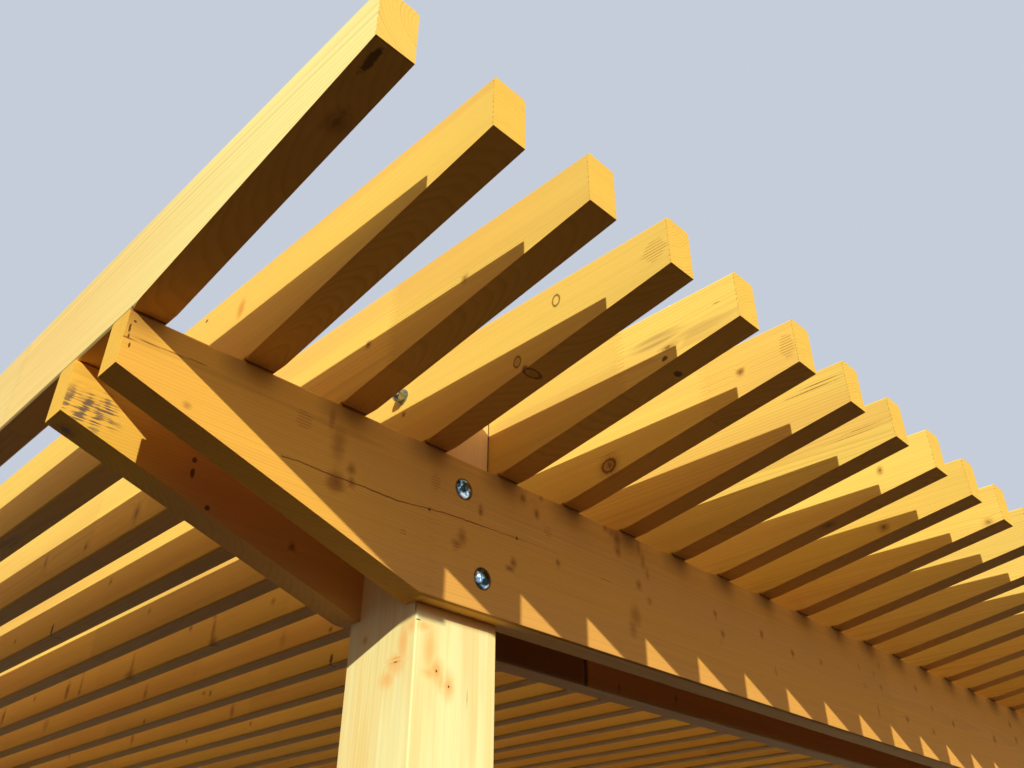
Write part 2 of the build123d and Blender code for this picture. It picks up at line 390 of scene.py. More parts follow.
def softwood(bench, along, across, deep, board, tones, joints, ends, features):
    """Planed finger-jointed spruce, from the place along, through and up the board."""
    point = bench.place()
    joint_start, joint_length, joint_wander = joints
    teeth = deep.zigzag(FINGER_PITCH)
    run = (along + (teeth - 0.5) * FINGER_LENGTH - joint_start) / joint_length
    if joint_wander:
        run = run + board * 0.377
        run = run + (run * 2.3 + board).wave() * joint_wander
    piece = run.floor()
    part = run - piece
    joint_gap = part.least(1.0 - part) * joint_length
    first, second, third = bench.chances(board, piece, 3.0)
    tone, warmth, turn = bench.chances(board, piece, 9.0)

    # Knots strewn through the timber, and those that were placed one by one
    strewn = bench.join(along + board * 3.17, across * 0.35 + board * 1.31, deep * 0.45 + board * 0.77)
    cells = bench.node(
        "ShaderNodeTexVoronoi",
        {"voronoi_dimensions": "3D", "feature": "F1"},
        {"Vector": strewn, "Scale": KNOTS_PER_METRE, "Randomness": 0.6},
        output="Distance",
    )
    grown, girth, shade = bench.parts_of(cells.other("Color"))
    missing = 1.0 - grown.above(features.get("clear", 0.90))
    knots = (cells / KNOTS_PER_METRE) / (girth * 0.005 + 0.004) + missing * 50.0
    if "knots" in features:
        knots = knots.least(bench.from_spots(point, features["knots"]))
    bulge = (knots * knots * -0.30).swell() * 0.0080

    # Growth rings around a pith that lies somewhere beside the board
    wavy = bench.join(along * 1.1 + piece * 7.3, across * 10.0 + board * 3.9, deep * 10.0 + piece * 2.1)
    wobble = (bench.noise(wavy, 3.0, 0.45) - 0.5) * 0.020
    away_across = across - (first - 0.5) * 0.10 - (turn - 0.5) * 0.035 * part
    away_deep = deep - (second - 0.5) * 0.24 - (third - 0.5) * 0.060 * part
    radius = (away_across * away_across + away_deep * away_deep) ** 0.5
    rings = (radius + wobble + bulge) / (third * RING_VARIATION + RING_WIDTH)
    year = rings.floor()
    season = rings - year
    late = bench.ease(season, 0.30, 0.88) * bench.ease(season, 0.90, 1.0, 1.0, 0.0)
    late = late * (bench.chance(year + board * 31.0) * 0.75 + 0.25)

    broad = bench.noise(bench.join(along * 0.9 + board * 5.0, across * 14.0, deep * 14.0), 2.0)
    streaks = bench.noise(bench.join(along * 3.0 + board * 2.0, across * 160.0, deep * 160.0), 2.0)
    fibre = bench.noise(bench.join(along * 22.0, across * 900.0, deep * 900.0), 1.0)
    speckle = bench.noise(bench.brighten(point, 240.0), 2.0)

    # Colour of the clear wood: its two tones, rosy patches, the board's own coats, late wood and fibre
    colour = bench.mix(warmth * 0.8, *tones)
    colour = bench.mix(bench.ease(broad, 0.42, 0.72, 0.0, features.get("rosy", 0.35)), colour, ROSY)
    for amount, coat in features.get("coats", ()):
        colour = bench.mix(amount, colour, coat)
    colour = bench.mix(late * features.get("late", 0.24), colour, LATEWOOD)
    colour = bench.brighten(colour, (tone * 0.12 + 0.91) * (streaks * 0.12 + 0.94) * (fibre * 0.08 + 0.96))

    # Knots: a soft halo, a dark rim and a dark heart
    halo = features.get("halo", KNOT_BROWN)
    reach = features.get("core", 0.80)
    ragged = (speckle - 0.5) * 0.9 + (streaks - 0.5) * 1.1
    soft = knots + ragged * 0.7
    core = bench.ease(soft, reach * 0.25, reach, 1.0, 0.0)
    bloom = features.get("bloom", 0.50)
    colour = bench.mix(bench.ease(soft, 0.2, 2.1, bloom, 0.0) * (shade * 0.4 + 0.7), colour, halo)
    rim = bench.ease((soft - 0.9).size(), 0.0, 0.25, 0.35, 0.0) * shade
    heart = core * (shade * 0.50 + features.get("heart", 0.35))
    colour = bench.mix(rim.most(heart.least(0.95)), colour, KNOT_CORE)

    # Finger joints, and the marks that were placed one by one
    glue = bench.ease(joint_gap, 0.0007, 0.0021, 1.0, 0.0) * bench.ease(speckle, 0.35, 0.55, 0.35, 1.0)
    colour = bench.mix(glue * 0.28, colour, LATEWOOD)

    if "smears" in features:
        smear = bench.from_spots(point, features["smears"]) + ragged * 0.5 + (broad - 0.5) * 1.6
        colour = bench.mix(bench.ease(smear, 0.0, 1.5, bloom, 0.0), colour, halo)
    if "dashes" in features:
        stack = bench.ease(bench.from_spots(point, features["dashes"]) + ragged * 0.7, 0.7, 1.0, 1.0, 0.0)
        dash = bench.ease(deep.zigzag(FINGER_PITCH * 0.7), 0.45, 0.90) * stack
        colour = bench.mix(dash * 0.60, colour, KNOT_BROWN)
    if "rings" in features:
        ring = bench.from_spots(point, features["rings"]) + ragged * 0.22
        colour = bench.mix(bench.ease((ring - 1.0).size(), 0.04, 0.36, 0.80, 0.0), colour, KNOT_CORE)
    if "stains" in features:
        stain = bench.from_spots(point, features["stains"]) + (broad - 0.5) * 1.2
        lines = bench.ease(streaks, 0.40, 0.62, 0.25, 1.0)
        colour = bench.mix(bench.ease(stain, 0.30, 1.15, 0.62, 0.0) * lines, colour, GREY_STAIN)
    if "black" in features:
        black = bench.ease(bench.from_spots(point, features["black"]) + (speckle - 0.5) * 0.9, 0.6, 1.0, 1.0, 0.0)
        colour = bench.mix(black * 0.85, colour, KNOT_BLACK)
    if "checks" in features:
        check = bench.ease(bench.from_spots(point, features["checks"]) + (speckle - 0.5) * 0.6, 0.3, 1.1, 1.0, 0.0)
        colour = bench.mix(check * 0.75, colour, CRACK_DARK)
    for amount, stain in features.get("drawn", ()):
        colour = bench.mix(amount, colour, stain)

    # Sawn ends, with the late wood of the rings in them
    roughness = fibre * 0.12 + 0.56 - core * 0.10
    if ends is not None:
        saw = bench.noise(bench.join(along * 60.0, across * 70.0, deep * 520.0), 2.0)
        cut = bench.brighten(bench.mix(late * 0.35, END_GRAIN, LATEWOOD), saw * 0.18 + 0.91)
        colour = bench.mix(ends * 0.85, colour, cut)
        roughness = roughness + ends * 0.15
    bench.finish(colour, roughness, streaks * 0.45 + fibre * 0.25, specular=TIMBER_SHEEN)


def rafter_middle(number):
    """X of a rafter's middle plane."""
    return (number - (RAFTERS + 1) / 2) * PITCH


def rafter_timber(name, number=None):
    """The finish of one rafter with its own marks, or of all the rafters that have none."""
    material, bench = new_finish(name)
    x, y, z = bench.split(bench.place())
    board = (x / PITCH + (RAFTERS + 2) / 2).floor()
    across = x - (board - (RAFTERS + 1) / 2) * PITCH
    deep = z - (BEAM_TOP + RAFTER_TOP) / 2
    ends = bench.ease(y, RAFTER_TIP + 0.0006, RAFTER_TIP + 0.0002)
    frayed = bench.ease(bench.noise(bench.join(0.0, board * 9.0, z * 260.0), 2.0), 0.45, 0.60)
    saw_edge = bench.ease(y, RAFTER_TIP + 0.0020, RAFTER_TIP + 0.0009) * (1.0 - ends) * frayed
    features = dict(RAFTER_MARKS.get(number, {}))
    for mark, given in features.items():
        if isinstance(given, list):
            features[mark] = [((off + rafter_middle(number), *place), size) for (off, *place), size in given]
    rise = ((TAPER_START - y) * TAPER_RISE).most(0.0)
    # Painted shade: the underside gets its own redder tone, which stands in for its shade
    painted_underside_shade = bench.ease(z - rise, BEAM_TOP + 0.0006, BEAM_TOP + 0.0002)
    if number == 1:
        features["coats"] = [(bench.ease(y, *PALE_TAIL), PALE_TAIL_TONE), (painted_underside_shade * 0.85, FIRST_RAFTER_UNDERSIDE_PAINTED_SHADE)]
    else:
        features["coats"] = [(painted_underside_shade * 0.85, RAFTER_UNDERSIDE_PAINTED_SHADE)]
    # Painted shade: a thin dark line on each rafter where it sits on the outer beam's front edge
    at_beam = bench.ease(y, FRONT_BEAM_FACE - 0.0020, FRONT_BEAM_FACE - 0.0008)
    at_beam = at_beam * (1.0 - y.above(FRONT_BEAM_FACE + 0.001))
    contact_shade = at_beam * bench.ease(z, BEAM_TOP + 0.0045, BEAM_TOP + 0.0020)
    features["drawn"] = [(saw_edge * 0.55, CRACK_DARK), (contact_shade * 0.75, KNOT_BLACK)]
    features["clear"] = 0.90 if number is None else 0.97
    tones = {None: RAFTER_TONES, 1: PALE_RAFTER_TONES}.get(number, MARKED_RAFTER_TONES)
    softwood(bench, y, across, deep, board, tones, RAFTER_JOINTS, ends, features)
    return material


def beam_timber(name, middle, grain, tones, joints, features, drawn=None):
    """The finish of a board along the wall, with the marks that are drawn on it."""
    material, bench = new_finish(name)
    x, y, z = bench.split(bench.place())
    if drawn is not None:
        coats, marks = drawn(bench, x, y, z)
        features = dict(features, coats=coats, drawn=marks)
    ends = bench.ease(x.size(), BEAM_END - 0.0006, BEAM_END - 0.0002)
    softwood(bench, x, y - middle, z, grain, tones, joints, ends, features)
    return material


def front_beam_drawn(bench, x, y, z):
    """The tones of the outer beam with its sunlit left end painted brighter, its long drying crack, and painted shade
    on its underside, under each rafter and in a dark ring around the bolt heads.
    """
    outer = 1.0 - y.above(FRONT_BEAM_MIDDLE)
    way = (x - CRACK_START) / (CRACK_END - CRACK_START)
    course = bench.node("ShaderNodeFloatCurve", {"course": CRACK_COURSE}, {1: way})
    waver = (bench.noise(bench.join(x * 90.0, y * 90.0, z * 4.0), 2.0) - 0.5) * 0.0022
    gap = (z - (course * 0.1 - 0.040) - waver).size()
    width = bench.noise(bench.join(x * 14.0, 0.0, 0.0), 1.0) * 0.0014 - 0.0002
    width = width - bench.ease(x, CRACK_THINS, CRACK_END, 0.0, 0.0008)
    inside = x.above(CRACK_START) * (1.0 - x.above(CRACK_END)) * outer
    crack = bench.ease(gap - width, 0.0, 0.0007, 1.0, 0.0) * inside
    # Painted shade: a dark ring around each bolt head where it sits in the wood
    from_head = bench.from_spots(bench.join(x.size(), 0.0, z), HEAD_SPOTS)
    head_ring_shade = bench.ease((from_head - 1.0).size(), 0.0, 0.13, 0.8, 0.0) * outer
    # Painted light: the sunlit left end is painted brighter and warmer
    painted_sunlit_end = bench.ease(x, *FRONT_BEAM_SUNLIT_END, 0.0, 0.75)
    # Painted shade: the underside gets its own brighter, redder tone, which stands in for its shade
    painted_underside_shade = bench.ease(z, BEAM_UNDERSIDE + 0.0008, BEAM_UNDERSIDE + 0.0003)
    # Painted shadow: a darker patch on the beam's face just below and left of each rafter, where the rafter shades it
    turn = (x + RAFTER_SHADOW_SHIFT) / PITCH + (RAFTERS + 1) / 2
    from_rafter = (turn - (turn + 0.5).floor()).size() * PITCH
    painted_rafter_shadow = bench.ease(from_rafter, *RAFTER_SHADOW_WIDTH) * bench.ease(z, *RAFTER_SHADOW_HEIGHT) * outer
    coats = [
        (painted_sunlit_end, FRONT_BEAM_PAINTED_SUNLIT_END),
        (painted_underside_shade * 0.9, FRONT_BEAM_UNDERSIDE_PAINTED_SHADE),
        (painted_rafter_shadow * 0.60, PAINTED_SHADOW_UNDER_RAFTER),
    ]
    return coats, [(crack * 0.85, CRACK_DARK), (head_ring_shade, KNOT_BLACK)]


def back_beam_drawn(bench, x, y, z):
    """The tones of the inner beam with its sunlit left end painted brighter, black rub marks near its left end, and a
    darker length beside the post.
    """
    patch = bench.from_spot(bench.join(x, y, z), RUBBED_PATCH)
    strokes = bench.noise(bench.join(x * 26.0, y * 40.0, z * 420.0), 3.0, 0.60)
    blots = bench.noise(bench.join(x * 60.0, y * 40.0, z * 30.0), 1.0)
    rubbed = bench.ease(strokes + (blots - 0.5) * 0.8, 0.48, 0.62) * bench.ease(patch, 0.5, 1.1, 1.0, 0.0)
    front = 1.0 - y.above(BACK_BEAM_MIDDLE - 0.020)
    # Darker from beside the post to the finger joint, with a dark line at the joint
    dark_length_line = DARK_LENGTH_END - 0.004
    dark_length = bench.ease(x + (blots - 0.5) * 0.02, dark_length_line, DARK_LENGTH_END + 0.004, 1.0, 0.0)
    dark_length = x.above(DARK_LENGTH_START) * dark_length * front
    dark_length_edge = bench.ease((x - dark_length_line + (blots - 0.5) * 0.006).size(), 0.002, 0.006, 1.0, 0.0) * front
    # Painted light: the sunlit left end is painted brighter and warmer
    painted_sunlit_end = bench.ease(x, *BACK_BEAM_SUNLIT_END, 0.0, 0.8)
    coats = [(painted_sunlit_end, BACK_BEAM_PAINTED_SUNLIT_END), (dark_length * 0.70, DARK_LENGTH_TONE)]
    return coats, [(rubbed * 0.84, RUB_MARK), (dark_length_edge * 0.80, KNOT_BLACK)]


def post_timber():
    """Paler than the rest, with broad soft bands of pale sapwood and amber along the grain; painted shade below the
    beam, an orange painted shade tone on the head, and a dark painted shade line at the head's seam.
    """
    material, bench = new_finish("post_timber")
    x, y, z = bench.split(bench.place())
    right = x.above(0.0)
    across = x - (right * 2.0 - 1.0) * POST_X
    grain = right * (RIGHT_POST_GRAIN - LEFT_POST_GRAIN) + LEFT_POST_GRAIN
    point = bench.join(x, y, z)
    bands = bench.noise(bench.join(x * 26.0 + right * 7.0, y * 26.0, z * 2.2), 2.0)
    bands = bands + bench.ease(bench.from_spots(point, POST_PALE_STREAKS), 0.2, 1.4, 0.18, 0.0)
    bands = bands - bench.ease(bench.from_spots(point, POST_AMBER_STREAKS), 0.2, 1.4, 0.11, 0.0)
    sapwood = bench.ease(bands, 0.48, 0.62, 0.0, 0.85)
    amber = bench.ease(bands, 0.42, 0.30, 0.0, 0.40)
    # Painted shade: a darker, redder band on the post's front face just below the beam
    shaded = bench.ease(z, *UNDER_BEAM_SHADE_BAND, 0.0, 0.88) * (1.0 - z.above(BEAM_UNDERSIDE))
    shaded = shaded * (1.0 - y.above(POST_FACE + 0.004))
    # Painted shade: the post head above the beam top takes the orange of its shade
    painted_head_shade = bench.ease(z, *POST_HEAD_SHADE_RISE, 0.0, 0.85)
    # Painted shade: a dark line along the post head where it meets the rafter on its inner side
    seam_shade = bench.ease((x.size() - POST_HEAD_SEAM).size(), 0.0008, 0.0022, 0.85, 0.0) * z.above(BEAM_TOP)
    coats = [(sapwood, SAPWOOD), (amber, AMBER), (shaded, PAINTED_SHADE_UNDER_BEAM), (painted_head_shade, POST_HEAD_PAINTED_SHADE)]
    features = dict(POST_FEATURES, coats=coats, drawn=[(seam_shade, KNOT_BLACK)])
    softwood(bench, z, across, y - POST_Y, grain, POST_TONES, POST_JOINTS, None, features)
    return material


def bright_zinc():
    """Zinc of the domed heads: patches of painted reflection, dark, sky blue and nearly white, in one another over
    the zinc's own bluish tint, with a dark rim of painted shade on the beam bolts' heads.
    """
    material, bench = new_finish("bright_zinc")
    point = bench.place()
    # Painted reflections: patches of dark, sky blue and white highlight over the zinc's own bluish tint
    cloud = bench.noise(bench.brighten(point, 78.0), 1.0)
    fleck = bench.noise(bench.brighten(point, 260.0), 1.0)
    patch = cloud + (fleck - 0.5) * 0.18
    colour = bench.mix(bench.ease(patch, 0.50, 0.58), ZINC_PAINTED_DARK_REFLECTION, ZINC_BLUE_AND_SKY_REFLECTION)
    colour = bench.mix(bench.ease(patch, 0.62, 0.68), colour, ZINC_PAINTED_HIGHLIGHT)
    x, y, z = bench.split(point)
    # Painted shade: a dark rim at the edge of each beam bolt's head
    rim = bench.ease(bench.from_spots(bench.join(x.size(), 0.0, z), HEAD_SPOTS), 0.74, 0.98)
    colour = bench.mix(rim * (1.0 - y.above(FRONT_BEAM_FACE)) * 0.9, colour, ZINC_PAINTED_RIM_SHADE)
    bench.finish(colour, fleck * 0.20 + 0.12, cloud * 3.0 + fleck, 0.0012, metallic=1.0)
    return material


def dull_zinc():
    """Zinc of the nuts: greyer, greenish and more even."""
    material, bench = new_finish("dull_zinc")
    cloud = bench.noise(bench.brighten(bench.place(), 180.0), 2.0)
    colour = bench.mix(bench.ease(cloud, 0.38, 0.62), NUT_DEEP, NUT_PALE)
    bench.finish(colour, cloud * 0.2 + 0.25, cloud, 0.0004, metallic=1.0)
    return material


def galvanised_steel():
    """Zinc of the post shoes, in dull flakes of slightly different greys."""
    material, bench = new_finish("galvanised_steel")
    spangle = bench.node(
        "ShaderNodeTexVoronoi", {"feature": "F1"}, {"Vector": bench.place(), "Scale": 160.0}, output="Color"
    )
    grey = bench.parts_of(spangle)[0]
    colour = bench.mix(grey, GALVANISED_DEEP, GALVANISED_PALE)
    bench.finish(colour, grey * 0.2 + 0.38, grey, 0.00006, metallic=0.9)
    return material


def side(along, up, half_length, half_height):
    """A spot on the left face of a rafter, from the rafter's own middle."""
    return (-0.0225, along, up), (0.012, half_length, half_height)


def spike(along, up):
    """A knot cut lengthwise, upright on the left face of a rafter; no two are the same size."""
    share = (along * 7.3) % 1.0
    return side(along, up, 0.005 + 0.006 * share, 0.010 + 0.010 * ((share * 5.1) % 1.0))


def dot(along, up):
    """A small knot on the left face of a rafter."""
    return side(along, up, 0.0065, 0.0060)


def under(off, along, half_width, half_length):
    """A spot on the underside of a rafter, which rises toward the tip."""
    rise = max(0.0, TAPER_START - along) * TAPER_RISE
    return (off, along, BEAM_TOP + rise), (half_width, half_length, 0.008)


def on_front_beam(x, z, half_length, half_height):
    """A spot on the outer face of the outer beam; those below lie on the face that their name tells."""
    return (x, FRONT_BEAM_FACE, z), (half_length, 0.010, half_height)


def on_back_beam(x, z, half_length, half_height):
    return (x, BACK_BEAM_FACE, z), (half_length, 0.010, half_height)


def on_post(x, z, half_width, half_height):
    return (x, POST_FACE, z), (half_width, 0.008, half_height)


def on_post_side(y, z, half_width, half_height):
    return (POST_LEFT_FACE, y, z), (0.008, half_width, half_height)


# What the photo shows on its rafters, by number: their shares of knot colour and their marks
RAFTER_MARKS = {
    1: {
        "knots": [under(0.0058, -3.906, 0.009, 0.013)],
        "black": [under(-0.0102, -3.9776, 0.0055, 0.022)],
    },
    2: {
        "halo": SUNLIT_KNOT,
        "bloom": 0.80,
        "heart": 0.05,
        "smears": [side(-3.5274, 0.2065, 0.0090, 0.0150)],
        "black": [side(-3.4292, 0.2384, 0.0045, 0.0030)],
        "stains": [under(-0.0023, -2.7594, 0.014, 0.060)],
    },
    3: {
        "knots": [
            side(-3.6129, 0.1821, 0.005, 0.005), side(-3.8011, 0.1861, 0.005, 0.006),
            side(-2.9683, 0.1435, 0.010, 0.014), spike(-2.5684, 0.1595), dot(-2.7679, 0.1371),
        ],
    },
    4: {
        "knots": [
            side(-3.5102, 0.1772, 0.0035, 0.0035), dot(-2.5415, 0.1666), dot(-2.0333, 0.1455),
        ],
        "smears": [
            side(-3.7473, 0.1602, 0.005, 0.007), under(-0.0088, -3.7609, 0.013, 0.006),
        ],
        "rings": [
            side(-3.8185, 0.2243, 0.0062, 0.0085), side(-3.7473, 0.1602, 0.0060, 0.0080),
            under(-0.0088, -3.7609, 0.0146, 0.0065),
        ],
        "black": [side(-2.2674, 0.1240, 0.0080, 0.0160), under(-0.0080, -2.2600, 0.0150, 0.0075)],
        "dashes": [side(-3.9780, 0.2140, 0.020, 0.020)],
    },
    5: {
        "knots": [side(-3.8878, 0.1877, 0.010, 0.0035), dot(-2.4281, 0.1646)],
        "stains": [side(-3.9380, 0.1928, 0.060, 0.010), side(-3.8685, 0.2061, 0.050, 0.012)],
        "black": [side(-3.8812, 0.1727, 0.0055, 0.0045), under(0.0073, -3.8800, 0.0090, 0.0060)],
        "checks": [side(-3.9686, 0.2192, 0.008, 0.0010)],
    },
    6: {
        "bloom": 0.65,
        "heart": 0.10,
        "rings": [side(-3.6621, 0.1449, 0.0125, 0.0105)],
        "knots": [
            side(-3.6621, 0.1449, 0.0160, 0.0135), side(-3.9099, 0.2057, 0.005, 0.005),
            dot(-2.4568, 0.1825), side(-2.4707, 0.1151, 0.014, 0.012), dot(-2.7147, 0.1550), dot(-2.3465, 0.1753),
            side(-2.0480, 0.1180, 0.020, 0.012), dot(-1.7380, 0.1260), spike(-1.6466, 0.1447),
            spike(-1.1565, 0.1468), dot(-1.3968, 0.1646),
        ],
        "smears": [
            side(-2.4640, 0.1500, 0.009, 0.035), side(-1.7400, 0.1440, 0.009, 0.030),
            side(-2.0539, 0.1400, 0.008, 0.030),
        ],
        "dashes": [side(-3.9860, 0.2150, 0.012, 0.026)],
    },
    7: {
        "knots": [dot(-2.7313, 0.1220), spike(-1.8391, 0.1320)],
        "smears": [side(-2.5349, 0.1410, 0.020, 0.026), side(-1.1290, 0.1466, 0.024, 0.024)],
        "checks": [side(-3.9600, 0.2325, 0.045, 0.0013), side(-3.9450, 0.2262, 0.060, 0.0013)],
    },
    8: {
        "knots": [dot(-1.9018, 0.1472), dot(-1.9410, 0.1406), dot(-1.5451, 0.1216)],
        "black": [side(-2.5315, 0.1240, 0.0080, 0.0150), under(-0.0120, -2.5240, 0.0120, 0.0070)],
        "checks": [side(-3.9500, 0.2160, 0.040, 0.0008), side(-3.9300, 0.2090, 0.060, 0.0008)],
    },
    9: {
        "knots": [
            side(-3.9080, 0.2088, 0.005, 0.006), spike(-1.8162, 0.1360), spike(-1.1534, 0.1444),
            spike(-0.6266, 0.1528), under(-0.0045, -3.7890, 0.009, 0.012),
        ],
    },
    10: {"knots": [side(-3.8366, 0.1707, 0.009, 0.008), dot(-1.2663, 0.1429), dot(-1.6833, 0.1401)]},
    11: {"knots": [side(-3.9724, 0.1853, 0.008, 0.006)]},
}

FRONT_BEAM_FEATURES = {
    "clear": 0.99,
    "bloom": 0.60,
    "heart": 0.10,
    "knots": [
        on_front_beam(x, z, wide * 1.1, high * 1.2)
        for x, z, wide, high in (
            (-1.6838, -0.0009, 0.0085, 0.0085), (-1.6625, 0.0239, 0.0050, 0.0055),
            (-1.6602, 0.0057, 0.0045, 0.0050), (-1.4684, -0.0104, 0.0060, 0.0080), (-1.3470, 0.0907, 0.0050, 0.0060),
            (-1.4342, 0.0398, 0.0035, 0.0060), (-1.4770, -0.0230, 0.0070, 0.0040),
            (-1.3062, 0.1046, 0.0035, 0.0045), (-1.3167, 0.0739, 0.0035, 0.0060), (-1.2699, 0.0074, 0.0040, 0.0040),
            (-1.3668, -0.0199, 0.0045, 0.0055), (-1.3740, -0.0301, 0.0060, 0.0030), (-1.1207, 0.0921, 0.0060, 0.0060),
            (-1.1502, 0.1022, 0.0045, 0.0045), (-1.1203, 0.0700, 0.0055, 0.0055), (-1.0688, 0.0254, 0.0050, 0.0060),
            (-1.0423, 0.0043, 0.0045, 0.0045), (-0.8451, 0.0295, 0.0045, 0.0045), (-0.8275, -0.0043, 0.0045, 0.0045),
            (-0.6899, 0.0263, 0.0045, 0.0050), (-0.5801, 0.0130, 0.0045, 0.0055), (-0.4662, 0.0180, 0.0045, 0.0045),
            (-0.1991, 0.0155, 0.0045, 0.0045), (-0.0937, -0.0358, 0.0055, 0.0045), (-0.0075, 0.0482, 0.0050, 0.0050),
            (0.0413, -0.0431, 0.0060, 0.0045), (0.0635, 0.0142, 0.0050, 0.0050), (0.1760, -0.0038, 0.0050, 0.0050),
            (0.4377, -0.0020, 0.0060, 0.0060), (0.5904, 0.0583, 0.0060, 0.0060), (0.6078, 0.0202, 0.0060, 0.0060),
        )
    ],
    "smears": [
        on_front_beam(*spot)
        for spot in (
            (-1.8920, 0.0202, 0.0060, 0.0050), (-1.6860, 0.0500, 0.0120, 0.0260),
            (-1.7000, 0.0860, 0.0050, 0.0200), (-1.6838, -0.0009, 0.0130, 0.0130),
            (-1.0628, 0.0932, 0.0060, 0.0150), (-1.0535, 0.0700, 0.0060, 0.0170), (-1.0431, 0.0505, 0.0060, 0.0130),
            (-1.1207, 0.0921, 0.0090, 0.0180), (-1.1350, 0.1000, 0.0100, 0.0080),
            (-1.0835, -0.0305, 0.0130, 0.0200), (-1.0925, -0.0540, 0.0110, 0.0160),
            (-0.6560, -0.0365, 0.0035, 0.0110),
            (-0.2935, 0.0429, 0.0040, 0.0110), (-0.2262, 0.0362, 0.0040, 0.0110), (-0.1886, 0.0677, 0.0040, 0.0090),
            (-0.2370, -0.0397, 0.0050, 0.0110),
        )
    ],
    "black": [
        on_front_beam(-1.5298, 0.0111, 0.0028, 0.0030),
        on_front_beam(-1.3599, 0.0205, 0.0024, 0.0040),
        on_front_beam(-1.9715, 0.0960, 0.0026, 0.0018),
        on_front_beam(-1.9752, 0.0855, 0.0015, 0.0085),
        on_front_beam(-1.9744, 0.0751, 0.0014, 0.0040),
        on_front_beam(-1.9709, 0.0640, 0.0016, 0.0040),
    ],
    "checks": [
        on_front_beam(-1.9770, 0.0720, 0.016, 0.0014),
        on_front_beam(-1.9500, 0.0766, 0.020, 0.0013),
        on_front_beam(-1.9200, 0.0778, 0.022, 0.0011),
        on_front_beam(-1.8900, 0.0797, 0.020, 0.0010),
        on_front_beam(-1.1550, 0.0103, 0.020, 0.0007),
    ],
    "dashes": [
        on_front_beam(-1.7405, 0.0640, 0.0140, 0.0150),
        on_front_beam(-1.5210, 0.0575, 0.0085, 0.0150),
        on_front_beam(-1.2917, 0.0510, 0.0090, 0.0105),
        on_front_beam(-1.4801, -0.0290, 0.0065, 0.0070),
        on_front_beam(-1.5711, -0.0356, 0.0060, 0.0060),
        on_front_beam(-0.8355, -0.0207, 0.0060, 0.0060),
        on_front_beam(-0.2797, 0.0066, 0.0130, 0.0070),
    ],
}

BACK_BEAM_FEATURES = {
    "knots": [
        ((-1.9587, -3.3884, 0.0305), (0.012, 0.012, 0.010)),
        on_back_beam(-1.6462, -0.0358, 0.005, 0.005),
        on_back_beam(-0.9540, -0.0950, 0.003, 0.007),
        on_back_beam(-0.7840, -0.0860, 0.003, 0.006),
    ],
    "black": [
        on_back_beam(-1.8061, 0.0362, 0.0036, 0.0055),
        on_back_beam(-1.8053, 0.0172, 0.0036, 0.0090),
        on_back_beam(-1.7762, -0.0215, 0.0040, 0.0045),
        ((-1.9587, -3.3884, 0.0305), (0.008, 0.007, 0.006)),
    ],
    "dashes": [on_back_beam(-1.0620, -0.0925, 0.010, 0.010)],
}

POST_PALE_STREAKS = [on_post(-1.4500, -0.2700, 0.034, 0.170), on_post_side(-3.5080, -0.2950, 0.032, 0.120)]
POST_AMBER_STREAKS = [on_post_side(-3.4350, -0.2600, 0.030, 0.160), on_post(-1.5130, -0.3000, 0.009, 0.110)]
POST_FEATURES = {
    "halo": POST_KNOT_HALO,
    "rosy": 0.12,
    "bloom": 0.75,
    "core": 0.50,
    "heart": 0.75,
    "late": 0.13,
    "knots": [
        on_post(-1.4838, -0.1928, 0.0055, 0.0060),
        on_post(-1.4619, -0.2088, 0.0045, 0.0050),
        on_post_side(-3.5060, -0.1826, 0.0090, 0.0016),
        on_post_side(-3.5060, -0.1775, 0.0080, 0.0012),
        on_post_side(-3.4358, -0.1400, 0.0045, 0.0050),
    ],
    "smears": [
        on_post(-1.4838, -0.1928, 0.0130, 0.0160),
        on_post(-1.4950, -0.1980, 0.0140, 0.0080),
        on_post(-1.4760, -0.2030, 0.0060, 0.0160),
        on_post(-1.4615, -0.2090, 0.0120, 0.0210),
        on_post(-1.5080, -0.1400, 0.0150, 0.0080),
        on_post(-1.4980, -0.1680, 0.0110, 0.0300),
        on_post_side(-3.5340, -0.1400, 0.0110, 0.0120),
        on_post_side(-3.5180, -0.1600, 0.0110, 0.0240),
        on_post_side(-3.5060, -0.1850, 0.0170, 0.0150),
        on_post_side(-3.4900, -0.2020, 0.0150, 0.0120),
    ],
    "black": [
        on_post(-1.4838, -0.1935, 0.0020, 0.0023),
        on_post(-1.4619, -0.2090, 0.0017, 0.0018),
        on_post(-1.5190, -0.1338, 0.0050, 0.0011),
        on_post_side(-3.5060, -0.1826, 0.0050, 0.0010),
    ],
    "checks": [on_post(-1.4290, -0.2180, 0.0007, 0.0130)],
}


def new_object(name, data):
    made = bpy.data.objects.new(name, data)
    bpy.context.collection.objects.link(made)
    return made


def settle(piece, modifier):
    """Makes what the modifier gives the piece's own mesh, and takes the modifier off."""
    bpy.context.view_layer.update()
    settled = bpy.data.meshes.new_from_object(piece.evaluated_get(bpy.context.evaluated_depsgraph_get()))
    piece.modifiers.remove(modifier)
    piece.data = settled


def round_arrises(name, finish, rounding):
    """Shows a copy of one solid with its arrises rounded off, in the solid's place."""
    edge_angles, shortest, width = rounding
    shape = bmesh.new()
    shape.from_mesh(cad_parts[name].data)
    bmesh.ops.remove_doubles(shape, verts=shape.verts, dist=0.00001)
    bmesh.ops.dissolve_limit(shape, angle_limit=math.radians(1.0), verts=shape.verts, edges=shape.edges)
    arrises = [
        edge
        for edge in shape.edges
        if len(edge.link_faces) == 2
        and edge.calc_length() > shortest
        and edge_angles[0] < math.degrees(edge.calc_face_angle()) < edge_angles[1]
    ]
    bmesh.ops.bevel(
        shape, geom=arrises, offset=width, offset_type="OFFSET", segments=ROUNDING_STEPS, profile=0.5, affect="EDGES"
    )
    show_finished(name, shape, finish)


